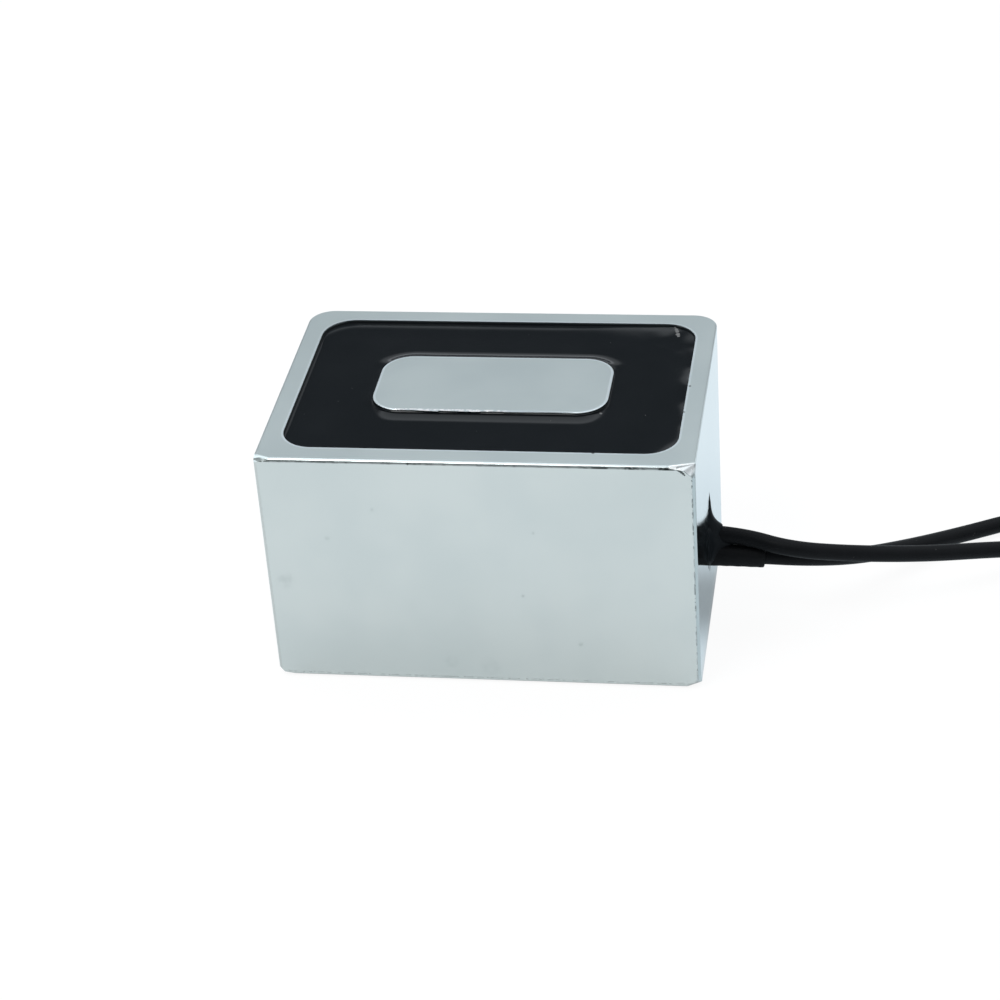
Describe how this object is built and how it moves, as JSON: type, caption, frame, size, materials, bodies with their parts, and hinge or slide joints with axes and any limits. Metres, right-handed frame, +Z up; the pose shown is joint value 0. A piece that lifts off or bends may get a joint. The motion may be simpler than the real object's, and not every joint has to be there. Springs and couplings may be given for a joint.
{
  "type": "holding electromagnet",
  "caption": "Rectangular pot holding electromagnet: milled steel yoke with centre pole, resin-potted coil in its slot, leads out of one side, tapped holes in the base.",
  "frame": {"origin": "centre of the yoke's base, on the mounting plane", "axes": "+Z up out of the holding face, +X through the side that the leads leave, +Y towards the rounded back corners"},
  "size_m": [0.1239, 0.0416, 0.03],
  "materials": {
    "plated_steel": "satin nickel plating over milled steel",
    "potting_resin": "glossy black epoxy",
    "lead_jacket": "soft black silicone jacket, satin",
    "shrink_sleeve": "black polyolefin sleeve, satin",
    "bobbin_nylon": "moulded natural nylon",
    "magnet_wire": "enamelled copper",
    "polyester_tape": "glossy yellow polyester film",
    "solder": "bright solder",
    "tinned_copper": "tinned strands",
    "tie_nylon": "black nylon"
  },
  "bodies": {
    "root": {"housing": "plated_steel", "bobbin": "bobbin_nylon", "winding": "magnet_wire", "winding_tape": "polyester_tape", "start_tail": "magnet_wire", "finish_tail": "magnet_wire", "start_joint": "solder", "finish_joint": "solder", "start_strands": "tinned_copper", "finish_strands": "tinned_copper", "start_splice_sleeve": "shrink_sleeve", "finish_splice_sleeve": "shrink_sleeve", "lead_a_inside": "lead_jacket", "lead_b_inside": "lead_jacket", "potting": "potting_resin", "exit_sealant": "potting_resin", "exit_sleeve": "shrink_sleeve", "lead_a": "lead_jacket", "lead_b": "lead_jacket", "lead_coil": "lead_jacket", "coil_tie": "tie_nylon", "lead_a_end": "lead_jacket", "lead_b_end": "lead_jacket", "lead_a_tip": "tinned_copper", "lead_b_tip": "tinned_copper"}
  },
  "joints": []
}
